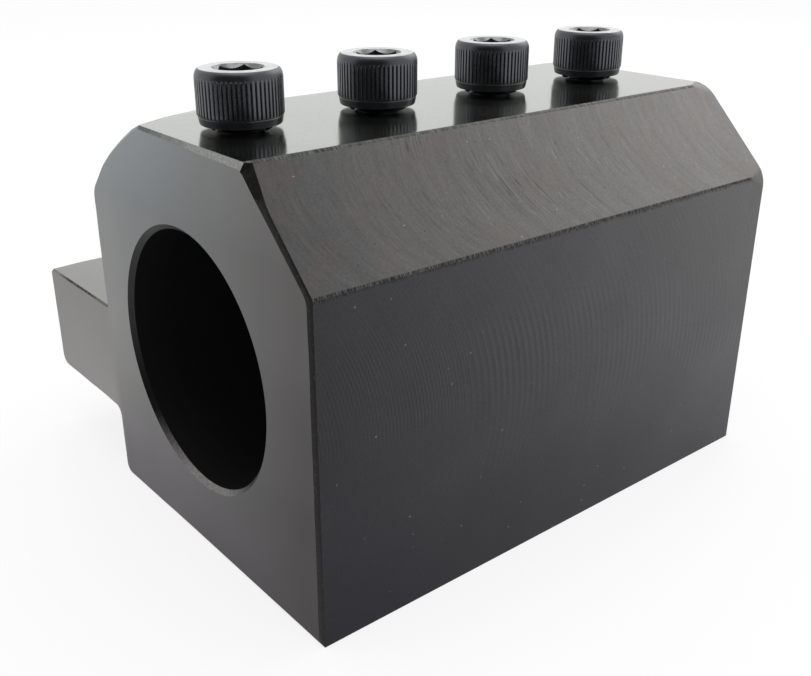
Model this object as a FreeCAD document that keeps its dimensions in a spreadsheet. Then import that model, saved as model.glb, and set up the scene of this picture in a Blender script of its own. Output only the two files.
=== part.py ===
"""Axial tool holder: a chamfered block with a clamping tongue, a bore for a round bar and four cap screws.

Millimetres, +Z up. The origin lies on the bore's axis, half way along the block.
The bore runs along Y and its front mouth faces -Y. The tongue stands out towards -X.
"""
import FreeCAD, Part
import os

import Sketcher
from FreeCAD import Vector

# Driving sizes: name, value, meaning
SIZES = [
    ("block_length", 124.0, "block along the bore"),
    ("axis_to_right", 42.0, "bore axis to the right side"),
    ("axis_to_left", 38.0, "bore axis to the left side, the tongue's shoulder"),
    ("axis_to_base", 41.5, "bore axis to the base"),
    ("axis_to_top", 43.5, "bore axis to the flat top"),
    ("chamfer_right", 18.0, "45 degree chamfer of the right top edge"),
    ("chamfer_left", 17.0, "45 degree chamfer of the left top edge"),
    ("tongue_reach", 32.5, "tongue out of the left side"),
    ("tongue_thickness", 25.0, "tongue's height, down from the plane of the bore's axis"),
    ("end_bevel", 0.5, "bevel round the outline of both end faces"),
    ("bore_diameter", 52.0, "bore for the bar"),
    ("mouth_chamfer", 1.0, "chamfer at both mouths of the bore"),
    ("screw_count", 4, "clamp screws"),
    ("screw_front_margin", 14.5, "front face to the first screw"),
    ("screw_back_margin", 14.7, "last screw to the back face"),
    ("screw_diameter", 10.0, "major diameter of the screw's thread"),
    ("thread_clearance", 0.05, "radial clearance between the screw and its tapped hole"),
    ("hole_countersink", 0.6, "countersink of the tapped holes"),
    ("screw_length", 18.0, "screw below its head"),
    ("head_gap", 0.8, "underside of the head above the flat top"),
    ("head_diameter", 16.0, "screw head"),
    ("head_height", 10.0, "screw head"),
    ("head_bevel", 0.9, "bevel of the head's top edge"),
    ("collar_height", 2.0, "smooth collar at the foot of the head"),
    ("collar_inset", 0.35, "step from the head's side in to the collar"),
    ("collar_taper", 0.5, "collar's taper in towards the underside of the head"),
    ("socket_width", 8.0, "hexagon socket across its flats"),
    ("socket_depth", 5.5, "hexagon socket down to its floor"),
    ("socket_lead", 0.2, "lead-in cone past the socket's corners"),
    ("knurl_count", 58, "straight knurl round the head, between the collar and the top"),
    ("knurl_depth", 0.3, "depth of one 90 degree groove of the knurl"),
    ("knurl_margin", 0.3, "smooth band between the knurl and the head's bevel"),
    ("tip_chamfer", 0.75, "chamfer of the screw's tip"),
    ("turn_1", 15.5, "degrees from the +X direction to a corner of the first socket"),
    ("turn_2", 27.5, "the same for the second socket"),
    ("turn_3", 19.0, "the same for the third socket"),
    ("turn_4", 44.0, "the same for the fourth socket"),
]
# The lead-in cone of the socket, 120 degrees across: its radius and its depth
LEAD_RADIUS = "sizes.socket_width / 2 / cos(30) + sizes.socket_lead"
LEAD_DEPTH = f"({LEAD_RADIUS}) * tan(30)"
SCREW_PITCH = (
    "(sizes.block_length - sizes.screw_front_margin - sizes.screw_back_margin)"
    " / (sizes.screw_count - 1)"
)
KNURL_HEIGHT = (
    "sizes.head_height - sizes.collar_height - sizes.head_bevel - sizes.knurl_margin"
)
# Sockets with a turn of their own; further screws start again with the first turn
TURN_COUNT = 4
# How far an edge may lie from the level where it is looked for
NEAR = 0.01
# The least volume that a cut has to take away
SMALLEST_CUT = 1

doc = FreeCAD.newDocument("axial_tool_holder")


def make_sheet():
    """Keeps every driving size in a cell of its own, next to its meaning."""
    sheet = doc.addObject("Spreadsheet::Sheet", "sizes")
    for row, (name, value, meaning) in enumerate(SIZES, start=1):
        sheet.set(f"A{row}", meaning)
        sheet.set(f"B{row}", str(value))
        sheet.setAlias(f"B{row}", name)
    doc.recompute()
    return sheet


def origin_feature(body, role):
    """Gives one of the body's own origin planes or axes."""
    return next(f for f in body.Origin.OriginFeatures if f.Role == role)


def new_sketch(body, name, role):
    """Starts a sketch on one of the body's origin planes."""
    sketch = body.newObject("Sketcher::SketchObject", name)
    sketch.AttachmentSupport = [(origin_feature(body, role), "")]
    sketch.MapMode = "FlatFace"
    return sketch


def draw_loop(sketch, points):
    """Draws a closed outline whose corners stay joined and whose level and upright edges stay so."""
    count = len(points)
    for i, start in enumerate(points):
        end = points[(i + 1) % count]
        sketch.addGeometry(Part.LineSegment(Vector(*start, 0), Vector(*end, 0)), False)
        if start[1] == end[1]:
            sketch.addConstraint(Sketcher.Constraint("Horizontal", i))
        elif start[0] == end[0]:
            sketch.addConstraint(Sketcher.Constraint("Vertical", i))
    for i in range(count):
        sketch.addConstraint(Sketcher.Constraint("Coincident", i, 2, (i + 1) % count, 1))


def corner(index):
    """Names an outline's corner for a constraint: the start of the edge with that number."""
    return (index, 1)


ORIGIN = (-1, 1)


def dimension(sketch, kind, start, end, name, formula):
    """Adds a named distance from one point to another and ties it to the sheet."""
    gap = sketch.getPoint(*end) - sketch.getPoint(*start)
    drawn = gap.x if kind == "DistanceX" else gap.y
    sketch.addConstraint(Sketcher.Constraint(kind, *start, *end, drawn))
    sketch.renameConstraint(sketch.ConstraintCount - 1, name)
    sketch.setExpression(f"Constraints.{name}", formula)


def across(sketch, start, end, name, formula):
    """Adds a level distance, start on the left."""
    dimension(sketch, "DistanceX", start, end, name, formula)


def up(sketch, start, end, name, formula):
    """Adds an upright distance, start below."""
    dimension(sketch, "DistanceY", start, end, name, formula)


def on_level_axis(sketch, point):
    """Keeps a point on the sketch's level axis."""
    sketch.addConstraint(Sketcher.Constraint("PointOnObject", *point, -1))


def on_upright_axis(sketch, point):
    """Keeps a point on the sketch's upright axis."""
    sketch.addConstraint(Sketcher.Constraint("PointOnObject", *point, -2))


def draw_circle(sketch, diameter):
    """Draws a circle round the sketch's origin."""
    sketch.addGeometry(Part.Circle(Vector(0, 0, 0), Vector(0, 0, 1), 10), False)
    sketch.addConstraint(Sketcher.Constraint("Coincident", 0, 3, *ORIGIN))
    sketch.addConstraint(Sketcher.Constraint("Diameter", 0, 20))
    sketch.renameConstraint(1, "diameter")
    sketch.setExpression("Constraints.diameter", diameter)


def edge_names(feature, wanted):
    """Lists the names of a feature's edges that a test picks."""
    return [f"Edge{i}" for i, edge in enumerate(feature.Shape.Edges, start=1) if wanted(edge)]


def chamfer(body, name, base, wanted, formula):
    """Chamfers the picked edges of the feature before it."""
    doc.recompute()
    feature = body.newObject("PartDesign::Chamfer", name)
    feature.Base = (base, edge_names(base, wanted))
    feature.setExpression("Size", formula)
    return feature


def draw_block_outline(sketch):
    """Draws the front outline of the block with its tongue, seen along +Y."""
    draw_loop(sketch, [
        (42, -41), (42, 25), (24, 43), (-21, 43), (-38, 26),
        (-38, 0), (-70, 0), (-70, -25), (-38, -25), (-38, -41),
    ])
    base_right, side_top, top_right, top_left, shoulder_top = map(corner, range(5))
    tongue_root, tongue_top, tongue_foot, shoulder_foot = map(corner, range(5, 9))
    across(sketch, ORIGIN, base_right, "to_right", "sizes.axis_to_right")
    up(sketch, base_right, ORIGIN, "to_base", "sizes.axis_to_base")
    up(sketch, ORIGIN, top_right, "to_top", "sizes.axis_to_top")
    across(sketch, top_right, side_top, "right_chamfer_width", "sizes.chamfer_right")
    up(sketch, side_top, top_right, "right_chamfer_drop", "sizes.chamfer_right")
    across(sketch, shoulder_top, top_left, "left_chamfer_width", "sizes.chamfer_left")
    up(sketch, shoulder_top, top_left, "left_chamfer_drop", "sizes.chamfer_left")
    across(sketch, shoulder_top, ORIGIN, "to_left", "sizes.axis_to_left")
    # The tongue's top lies in the plane of the bore's axis
    on_level_axis(sketch, tongue_root)
    across(sketch, tongue_top, tongue_root, "reach", "sizes.tongue_reach")
    up(sketch, tongue_foot, tongue_top, "thickness", "sizes.tongue_thickness")
    sketch.addConstraint(Sketcher.Constraint("Vertical", *shoulder_top, *shoulder_foot))


def draw_hole_section(sketch):
    """Draws half the section of the first tapped hole, from the flat top down into the bore."""
    draw_loop(sketch, [(-47, 43.5), (-41, 43.5), (-42, 42.5), (-42, 0), (-47, 0)])
    top, rim, throat, wall_foot, foot = map(corner, range(5))
    across(sketch, top, ORIGIN, "place", "sizes.block_length / 2 - sizes.screw_front_margin")
    up(sketch, ORIGIN, top, "to_top", "sizes.axis_to_top")
    on_level_axis(sketch, foot)
    across(sketch, foot, wall_foot, "radius", "sizes.screw_diameter / 2 + sizes.thread_clearance")
    across(sketch, throat, rim, "countersink_width", "sizes.hole_countersink")
    up(sketch, throat, rim, "countersink_depth", "sizes.hole_countersink")


def make_block():
    """Makes the block: one outline, the bore, its mouths, the end bevels and the tapped holes."""
    body = doc.addObject("PartDesign::Body", "tool_block")

    outline = new_sketch(body, "block_outline", "XZ_Plane")
    draw_block_outline(outline)
    prism = body.newObject("PartDesign::Pad", "block_prism")
    prism.Profile = outline
    prism.SideType = "Symmetric"
    prism.setExpression("Length", "sizes.block_length")

    circle = new_sketch(body, "bore_circle", "XZ_Plane")
    draw_circle(circle, "sizes.bore_diameter")
    bore = body.newObject("PartDesign::Pocket", "bore")
    bore.Profile = circle
    bore.SideType = "Symmetric"
    bore.Type = "ThroughAll"
    doc.recompute()

    box = bore.Shape.BoundBox

    def at_an_end(edge):
        return edge.BoundBox.YMax < box.YMin + NEAR or edge.BoundBox.YMin > box.YMax - NEAR

    def is_mouth(edge):
        return at_an_end(edge) and isinstance(edge.Curve, Part.Circle)

    def is_outline(edge):
        return at_an_end(edge) and isinstance(edge.Curve, Part.Line)

    mouths = chamfer(body, "bore_mouths", bore, is_mouth, "sizes.mouth_chamfer")
    bevels = chamfer(body, "end_bevels", mouths, is_outline, "sizes.end_bevel")
    doc.recompute()

    section = new_sketch(body, "tapped_hole_section", "YZ_Plane")
    draw_hole_section(section)
    hole = body.newObject("PartDesign::Groove", "tapped_hole")
    hole.Profile = section
    hole.ReferenceAxis = (section, ["Edge5"])
    hole.Angle = 360
    doc.recompute()
    assert hole.Shape.Volume < bevels.Shape.Volume - SMALLEST_CUT, "the tapped hole cuts nothing"

    row = body.newObject("PartDesign::LinearPattern", "tapped_hole_row")
    row.Originals = [hole]
    row.Direction = (origin_feature(body, "Y_Axis"), [""])
    row.Mode = "Spacing"
    row.setExpression("Occurrences", "sizes.screw_count")
    row.setExpression("Offset", SCREW_PITCH)
    body.Tip = row
    doc.recompute()
    return body


def draw_screw_section(sketch):
    """Draws half the section of a cap screw, with the underside of its head on the level axis."""
    draw_loop(sketch, [(0, -18), (5, -18), (5, 0), (7.2, 0), (7.6, 2), (8, 2), (8, 10), (0, 10)])
    tip, shank_tip, shank_root, collar_foot, collar_top, head_foot, head_top = map(corner, range(7))
    on_upright_axis(sketch, tip)
    on_level_axis(sketch, shank_root)
    up(sketch, tip, ORIGIN, "length", "sizes.screw_length")
    across(sketch, tip, shank_tip, "shank_radius", "sizes.screw_diameter / 2")
    across(sketch, collar_foot, collar_top, "taper", "sizes.collar_taper")
    across(sketch, collar_top, head_foot, "inset", "sizes.collar_inset")
    up(sketch, collar_foot, collar_top, "collar", "sizes.collar_height")
    across(sketch, ORIGIN, head_foot, "head_radius", "sizes.head_diameter / 2")
    up(sketch, ORIGIN, head_top, "head", "sizes.head_height")


def draw_hexagon(sketch):
    """Draws a regular hexagon round the origin, tied by its size across the flats."""
    circle = 6
    corners = [Vector(5, 0, 0)]
    for _ in range(5):
        turned = FreeCAD.Rotation(Vector(0, 0, 1), 60).multVec(corners[-1])
        corners.append(turned)
    for i in range(6):
        sketch.addGeometry(Part.LineSegment(corners[i], corners[(i + 1) % 6]), False)
    sketch.addGeometry(Part.Circle(Vector(0, 0, 0), Vector(0, 0, 1), 5), True)
    sketch.addConstraint(Sketcher.Constraint("Coincident", circle, 3, *ORIGIN))
    for i in range(6):
        sketch.addConstraint(Sketcher.Constraint("Coincident", i, 2, (i + 1) % 6, 1))
        sketch.addConstraint(Sketcher.Constraint("PointOnObject", i, 1, circle))
    for i in range(1, 6):
        sketch.addConstraint(Sketcher.Constraint("Equal", 0, i))
    on_level_axis(sketch, corner(0))
    sketch.addConstraint(Sketcher.Constraint("Radius", circle, 5))
    sketch.renameConstraint(sketch.ConstraintCount - 1, "corner_radius")
    sketch.setExpression("Constraints.corner_radius", "sizes.socket_width / 2 / cos(30)")


def cut_lead_in(body, name):
    """Turns the lead-in cone of the socket, which takes its sharp corners off at the head's top."""
    section = new_sketch(body, f"{name}_lead_section", "XZ_Plane")
    draw_loop(section, [(0, 9), (4, 9), (0, 7)])
    centre, rim, point = map(corner, range(3))
    on_upright_axis(section, centre)
    up(section, ORIGIN, centre, "level", "sizes.head_height")
    across(section, centre, rim, "radius", LEAD_RADIUS)
    up(section, point, centre, "depth", LEAD_DEPTH)
    cone = body.newObject("PartDesign::Groove", f"{name}_lead_in")
    cone.Profile = section
    cone.ReferenceAxis = (section, ["V_Axis"])
    cone.Angle = 360
    doc.recompute()
    return cone


def draw_knurl_groove(sketch):
    """Draws one 90 degree V of the knurl, its point inside the head and its mouth clear outside."""
    draw_loop(sketch, [(7.7, 0), (8.3, -0.6), (8.3, 0.6)])
    point, near_side, far_side = map(corner, range(3))
    on_level_axis(sketch, point)
    across(sketch, ORIGIN, point, "foot_radius", "sizes.head_diameter / 2 - sizes.knurl_depth")
    across(sketch, point, near_side, "depth", "2 * sizes.knurl_depth")
    up(sketch, near_side, point, "half_mouth", "2 * sizes.knurl_depth")
    up(sketch, point, far_side, "other_half_mouth", "2 * sizes.knurl_depth")


def cut_knurl(body, name):
    """Cuts the straight knurl: one groove from the collar up to the smooth band, repeated all round."""
    section = new_sketch(body, f"{name}_knurl_section", "XY_Plane")
    section.setExpression("AttachmentOffset.Base.z", "sizes.collar_height")
    draw_knurl_groove(section)
    groove = body.newObject("PartDesign::Pocket", f"{name}_knurl_groove")
    groove.Profile = section
    groove.Reversed = True
    groove.setExpression("Length", KNURL_HEIGHT)
    doc.recompute()

    knurl = body.newObject("PartDesign::PolarPattern", f"{name}_knurl")
    knurl.Originals = [groove]
    knurl.Axis = (origin_feature(body, "Z_Axis"), [""])
    knurl.Angle = 360
    knurl.setExpression("Occurrences", "sizes.knurl_count")
    doc.recompute()
    return knurl


def make_screw(index):
    """Makes one cap screw, its origin in the middle of the underside of its head."""
    name = f"clamp_screw_{index + 1}"
    body = doc.addObject("PartDesign::Body", name)

    section = new_sketch(body, f"{name}_section", "XZ_Plane")
    draw_screw_section(section)
    blank = body.newObject("PartDesign::Revolution", f"{name}_blank")
    blank.Profile = section
    blank.ReferenceAxis = (section, ["V_Axis"])
    blank.Angle = 360
    doc.recompute()

    box = blank.Shape.BoundBox

    def is_circle_at(edge, level):
        return isinstance(edge.Curve, Part.Circle) and abs(edge.Curve.Center.z - level) < NEAR

    def is_tip(edge):
        return is_circle_at(edge, box.ZMin)

    def is_head_top(edge):
        return is_circle_at(edge, box.ZMax)

    tip = chamfer(body, f"{name}_tip", blank, is_tip, "sizes.tip_chamfer")
    head = chamfer(body, f"{name}_head_edge", tip, is_head_top, "sizes.head_bevel")

    hexagon = new_sketch(body, f"{name}_hexagon", "XY_Plane")
    hexagon.setExpression("AttachmentOffset.Base.z", "sizes.head_height")
    draw_hexagon(hexagon)
    socket = body.newObject("PartDesign::Pocket", f"{name}_socket")
    socket.Profile = hexagon
    socket.setExpression("Length", "sizes.socket_depth")
    doc.recompute()
    assert socket.Shape.Volume < head.Shape.Volume - SMALLEST_CUT, "the socket cuts nothing"

    lead = cut_lead_in(body, name)
    knurl = cut_knurl(body, name)
    assert knurl.Shape.Volume < lead.Shape.Volume - SMALLEST_CUT, "the knurl cuts nothing"
    body.Tip = knurl

    place = f"-sizes.block_length / 2 + sizes.screw_front_margin + {index} * {SCREW_PITCH}"
    body.setExpression("Placement.Base.y", place)
    body.setExpression("Placement.Base.z", "sizes.axis_to_top + sizes.head_gap")
    body.setExpression("Placement.Rotation.Angle", f"sizes.turn_{index % TURN_COUNT + 1}")
    return body


def check(bodies):
    """Stops the build where a feature failed or a piece isn't one sound solid."""
    doc.recompute()
    for item in doc.Objects:
        if "Invalid" in item.State or "Error" in item.State:
            raise RuntimeError(f"{item.Name} failed: {item.State}")
    for body in bodies:
        shape = body.Shape
        if shape.isNull() or not shape.isValid() or len(shape.Solids) != 1:
            raise RuntimeError(f"{body.Label} isn't one sound solid")


sheet = make_sheet()
pieces = [make_block()]
for screw_index in range(int(sheet.screw_count)):
    pieces.append(make_screw(screw_index))
check(pieces)

os.makedirs("parts", exist_ok=True)
for piece in pieces:
    piece.Shape.exportStep(f"parts/{piece.Label}.step")
    print(piece.Label, round(piece.Shape.Volume, 1), "mm3")
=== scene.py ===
"""The finished look of an axial tool holder: a milled steel block and its four knurled clamp screws."""
import math

import bmesh
import bpy
from bpy.props import FloatProperty, FloatVectorProperty, IntProperty, PointerProperty
from mathutils import Matrix, Vector, geometry, noise


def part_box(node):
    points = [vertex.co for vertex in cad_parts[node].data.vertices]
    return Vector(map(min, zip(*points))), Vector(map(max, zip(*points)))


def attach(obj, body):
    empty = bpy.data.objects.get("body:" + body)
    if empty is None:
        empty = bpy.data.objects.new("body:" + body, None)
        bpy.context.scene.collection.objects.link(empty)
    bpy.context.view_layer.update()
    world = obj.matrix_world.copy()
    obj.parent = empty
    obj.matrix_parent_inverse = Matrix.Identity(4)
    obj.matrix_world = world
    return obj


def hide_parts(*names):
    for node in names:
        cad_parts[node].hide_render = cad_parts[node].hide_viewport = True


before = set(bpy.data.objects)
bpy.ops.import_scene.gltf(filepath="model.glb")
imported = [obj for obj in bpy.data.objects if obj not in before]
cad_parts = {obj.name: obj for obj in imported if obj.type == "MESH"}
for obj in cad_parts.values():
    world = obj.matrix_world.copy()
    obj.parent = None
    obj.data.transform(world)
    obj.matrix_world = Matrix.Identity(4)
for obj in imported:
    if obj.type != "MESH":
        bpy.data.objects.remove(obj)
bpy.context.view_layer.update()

bl_info = {
    "name": "Axial Tool Holder",
    "version": (1, 0, 0),
    "blender": (4, 5, 0),
    "location": "View3D > Sidebar > Tool Holder",
    "description": "Builds a milled tool holder block, its clamp screws and a plain studio",
    "category": "Add Mesh",
}

BLOCK_LOW, BLOCK_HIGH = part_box("tool_block")
SCREW_NODES = sorted(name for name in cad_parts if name.startswith("clamp_screw_"))
HEAD_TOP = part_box(SCREW_NODES[0])[1].z

MM = 0.001
AXIS_X, AXIS_Y, AXIS_Z = (1, 0, 0), (0, 1, 0), (0, 0, 1)
# Points closer than this are one point
MERGE_DISTANCE = 1e-6
# Corners sharper than these show as an edge
BLOCK_EDGE_ANGLE = math.radians(34)
SCREW_EDGE_ANGLE = math.radians(22)
# How much more the large faces count than the small ones where their shading meets, 50 being even
FLAT_FACE_WEIGHT = 80
# How far a cutter stands out of what it cuts
SPARE = 1 * MM


def length(name, description, millimetres):
    """Declares a length."""
    return FloatProperty(name=name, description=description, default=millimetres * MM, unit="LENGTH")


def angle(name, description, degrees):
    """Declares an angle."""
    return FloatProperty(name=name, description=description, default=math.radians(degrees), subtype="ANGLE")


def color(name, description, default):
    """Declares a colour, in linear light."""
    return FloatVectorProperty(name=name, description=description, default=default, subtype="COLOR")


class BlockSizes(bpy.types.PropertyGroup):
    """Sizes of the block that its CAD box doesn't give."""

    left_side: length("Left Side", "Where the left side lies, left of the bore's axis", 38)
    right_chamfer: length("Right Chamfer", "45 degree chamfer of the right top edge", 18)
    left_chamfer: length("Left Chamfer", "45 degree chamfer of the left top edge", 17)
    tongue_thickness: length(
        "Tongue Thickness", "Height of the tongue, whose top is level with the bore's axis", 25)
    bore_diameter: length("Bore", "Diameter of the bore for the bar", 52)
    mouth_chamfer: length("Mouth Chamfer", "Chamfer of the bore's two mouths", 1)
    end_bevel: length("End Bevel", "How far the hand-filed bevel runs back from each end face", 0.5)
    worn_corner: length("Worn Corner", "How far back from the front the left top edge is worn round", 17)
    wedge_depth: length(
        "Wedge Depth", "How far back the filed wedge at the top of the right chamfer reaches", 1.5)
    wedge_length: length("Wedge Length", "How far down the right chamfer the filed wedge runs out", 9)
    edge_break: length("Edge Break", "Rounding of the long edges", 0.3)
    root_fillet: length("Root Fillet", "Rounding in the two corners at the tongue's root", 0.5)
    hole_diameter: length("Tapped Hole", "Inner diameter of the thread in the clamp holes", 10.1)
    hole_countersink: length("Countersink", "Countersink of the clamp holes", 0.6)


class ScrewSizes(bpy.types.PropertyGroup):
    """Sizes of the four cap screws."""

    thread_diameter: length("Thread", "Major diameter of the thread", 10)
    pitch: length("Pitch", "Rise of the thread in one turn", 1.5)
    shank_length: length("Shank Length", "Screw below its head", 18)
    tip_chamfer: length("Tip Chamfer", "Chamfer of the threaded tip", 0.75)
    head_diameter: length("Head Diameter", "Diameter over the ridges of the knurl", 16)
    head_height: length("Head Height", "Height of the head", 10)
    rim_rounding: length("Rim Rounding", "How far in the rounding of the head's top edge reaches", 1.0)
    rim_height: length("Rim Height", "How far down the rounding of the head's top edge reaches", 1.8)
    smooth_band: length("Smooth Band", "Smooth part of the head between its top and the knurl", 1.5)
    collar_height: length("Collar Height", "Smooth collar at the foot of the head", 1.55)
    collar_inset: length("Collar Inset", "Step from the knurl in to the collar", 0.2)
    ridge_count: IntProperty(
        name="Ridges", description="Ridges of the straight knurl round the head", default=58)
    ridge_depth: length("Ridge Depth", "Depth of the grooves between the ridges", 0.3)
    socket_width: length("Socket Width", "Hexagon socket across its flats", 8)
    socket_depth: length("Socket Depth", "Hexagon socket down to its floor", 5.5)
    socket_lead: length("Socket Lead-In", "Lead-in cone past the socket's corners", 0.2)
    turns: FloatVectorProperty(
        name="Turns", description="Turn of each screw, from +X to a corner of its socket", size=4,
        subtype="EULER", default=[math.radians(turn) for turn in (15.5, 27.5, 19.0, 44.0)])


class Finishes(bpy.types.PropertyGroup):
    """Colours of the steel where a tool or the oxide bath left it different, with painted light and shade in
    their levels.
    """

    # Painted light and shade in these levels: each face is as bright as it looks in this light, sides darker
    # and tops lighter
    front: color("Front Face", "Lapped end faces", (0.185, 0.190, 0.186))
    side: color("Sides", "Dark milled sides", (0.062, 0.062, 0.066))
    chamfer: color("Chamfers", "Milled chamfers with coarse cutter arcs", (0.112, 0.108, 0.103))
    top: color("Top", "Ground top", (0.385, 0.398, 0.367))
    tongue: color("Tongue Top", "Ground seat of the tongue", (0.272, 0.275, 0.257))
    bevel: color("Bevels", "Hand-filed edges", (0.026, 0.0255, 0.025))
    bore: color("Bore", "Oxide-black bore", (0.006, 0.006, 0.0065))
    screw: color("Screws", "Black oxide of the screws", (0.0085, 0.0085, 0.0095))
    mouth: color("Bore Mouth", "Steel of the chamfers round the bore's mouths", (0.035, 0.035, 0.0365))
    screw_crest: color("Knurl Crests", "Oxide on the lands of the knurl", (0.0105, 0.0105, 0.0115))
    # Painted reflection: the head tops and lead-ins are bright bare metal, raised to paint in the reflections
    # they show
    screw_top: color("Head Tops", "Rubbed flat tops of the heads", (0.60, 0.60, 0.595))
    screw_lead: color("Socket Lead-Ins", "Rubbed lead-ins of the sockets", (0.18, 0.18, 0.185))
    floor: color("Floor", "Plain pale floor", (0.97, 0.97, 0.97))


class StudioSettings(bpy.types.PropertyGroup):
    """Where the camera stands and how bright the plain studio light is."""

    eye: FloatVectorProperty(
        name="Eye", description="The camera's place", subtype="TRANSLATION",
        default=(160.1 * MM, -140.45 * MM, 80.75 * MM))
    azimuth: angle("Azimuth", "The camera's turn about the upright axis, from looking along +Y", 50.5)
    elevation: angle("Elevation", "How steeply the camera looks down", 23.5)
    roll: angle("Roll", "The camera's turn about its own line of sight", 0.125)
    focal_length: FloatProperty(
        name="Focal Length", description="Lens, in millimetres on a 36 mm sensor",
        default=44.1, min=1)
    floor_white: FloatProperty(
        name="Floor White", description="How far the floor is seen as pure white, the rest with its shadows",
        default=0.8, min=0, max=1)
    world_light: FloatProperty(
        name="World Light", description="Strength of the even light from all sides", default=0.86)
    flag_distance: length("Flag Distance", "Black flag behind the camera, from the block's middle", 360)
    flag_turn: angle("Flag Turn", "How far the black flag stands to the camera's left", 15)
    flag_width: length("Flag Width", "Black flag behind the camera", 860)
    flag_height: length("Flag Height", "Black flag behind the camera, up from the floor", 700)
    lamp_light: FloatProperty(
        name="Lamp Light", description="Brightness of the soft boxes' faces", default=1.3)


# Node trees

WHITE = (1, 1, 1, 1)
# Nearly all values of a noise lie between these
NOISE_SPREAD = (0.3, 0.7)


class Finish:
    """Builds one procedural material, a socket at a time."""

    def __init__(self, name, color, roughness, metallic=1.0):
        self.material = bpy.data.materials.new(name)
        self.material.use_nodes = True
        self.tree = self.material.node_tree
        self.surface = self.tree.nodes["Principled BSDF"]
        self.surface.inputs["Metallic"].default_value = metallic
        self.color = (*color, 1.0)
        self.roughness = roughness
        self.place = self.node("ShaderNodeTexCoord").outputs["Object"]

    def node(self, kind, **settings):
        node = self.tree.nodes.new(kind)
        for name, value in settings.items():
            setattr(node, name, value)
        return node

    def feed(self, socket, value):
        """Links a socket's source, or sets its plain value."""
        if isinstance(value, bpy.types.NodeSocket):
            self.tree.links.new(value, socket)
        else:
            socket.default_value = value

    def math(self, operation, first, second=0.0, third=0.0, clamp=False):
        node = self.node("ShaderNodeMath", operation=operation, use_clamp=clamp)
        for socket, value in zip(node.inputs, (first, second, third)):
            self.feed(socket, value)
        return node.outputs[0]

    def times(self, first, *others):
        """Gives the product of values."""
        for value in others:
            first = self.math("MULTIPLY", first, value)
        return first

    def along(self, direction):
        """Gives how far a point lies along a direction, in millimetres."""
        node = self.node("ShaderNodeVectorMath", operation="DOT_PRODUCT")
        self.feed(node.inputs[0], self.place)
        node.inputs[1].default_value = Vector(direction) / MM
        return node.outputs["Value"]

    def vector(self, x, y, z=0.0):
        node = self.node("ShaderNodeCombineXYZ")
        for socket, value in zip(node.inputs, (x, y, z)):
            self.feed(socket, value)
        return node.outputs[0]

    def noise(self, scale, detail=3.0, roughness=0.5, vector=None):
        """Gives a soft noise from 0 to 1 with a scale in waves per millimetre."""
        node = self.node("ShaderNodeTexNoise")
        if vector is None:
            vector = self.place
            scale = scale / MM
        self.feed(node.inputs["Vector"], vector)
        node.inputs["Scale"].default_value = scale
        node.inputs["Detail"].default_value = detail
        node.inputs["Roughness"].default_value = roughness
        return node.outputs["Fac"]

    def ramp(self, value, low, high, low_out=0.0, high_out=1.0, smooth=False):
        """Maps a range of a value onto another, held at its ends."""
        node = self.node("ShaderNodeMapRange", clamp=True)
        if smooth:
            node.interpolation_type = "SMOOTHSTEP"
        for socket, number in zip(node.inputs, (value, low, high, low_out, high_out)):
            self.feed(socket, number)
        return node.outputs["Result"]

    def mix(self, share, first, second, blend="MIX"):
        """Blends two colours."""
        node = self.node("ShaderNodeMix", data_type="RGBA", blend_type=blend)
        self.feed(node.inputs["Factor"], share)
        for socket, value in ((node.inputs[6], first), (node.inputs[7], second)):
            if isinstance(value, (tuple, list)) and len(value) == 3:
                value = (*value, 1.0)
            self.feed(socket, value)
        return node.outputs[2]

    def tint(self, share, color):
        """Turns the finish's colour towards another where the share says."""
        self.color = self.mix(share, self.color, color)

    def stain(self, share, color):
        """Multiplies the finish's colour by another where the share says."""
        self.color = self.mix(share, self.color, color, "MULTIPLY")

    def shade(self, factor):
        """Multiplies the finish's colour by a grey level."""
        self.color = self.mix(1.0, self.color, self.vector(factor, factor, factor), "MULTIPLY")

    def part(self, factor, share):
        """Gives a factor that works only where the share says, and is 1 elsewhere."""
        return self.math("MULTIPLY_ADD", self.math("SUBTRACT", factor, 1.0), share, 1.0)

    def grade(self, *rows):
        """Shades the finish by ramps: value, low, high, level at low, level at high, and perhaps a share."""
        for value, low, high, low_out, high_out, *share in rows:
            factor = self.ramp(value, low, high, low_out, high_out)
            self.shade(self.part(factor, share[0]) if share else factor)

    def mottle(self, *rows):
        """Shades the finish by noises, each from one level in its dips to another on its peaks."""
        self.grade(*((pattern, *NOISE_SPREAD, low_out, high_out) for pattern, low_out, high_out in rows))

    def drift(self, level, *slopes):
        """Shades the finish by a level that rises evenly, per millimetre, along each given direction."""
        factor = level
        for direction, rise in slopes:
            factor = self.math("MULTIPLY_ADD", self.along(direction), rise, factor)
        self.shade(factor)

    def roughen(self, pattern, low, high, spread=NOISE_SPREAD):
        """Adds to the roughness by a noise, from one amount in its dips to another on its peaks."""
        amount = self.ramp(pattern, *spread, low, high)
        self.roughness = self.math("ADD", self.roughness, amount, clamp=True)

    def specks(self, spacing, size, share, offset=0.0):
        """Gives sparse round dots: one cell in so many holds a dot of about that size in millimetres."""
        cells = self.node("ShaderNodeTexVoronoi")
        shifted = self.node("ShaderNodeVectorMath", operation="ADD")
        self.feed(shifted.inputs[0], self.place)
        shifted.inputs[1].default_value = (offset, offset, offset)
        self.feed(cells.inputs["Vector"], shifted.outputs[0])
        cells.inputs["Scale"].default_value = 1 / (spacing * MM)
        picked = self.node("ShaderNodeSeparateColor")
        self.feed(picked.inputs[0], cells.outputs["Color"])
        chosen = self.math("LESS_THAN", picked.outputs[0], share)
        near = self.ramp(cells.outputs["Distance"], 0.5 * size / spacing, size / spacing, 1.0, 0.0)
        return self.math("MULTIPLY", chosen, near)

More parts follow.
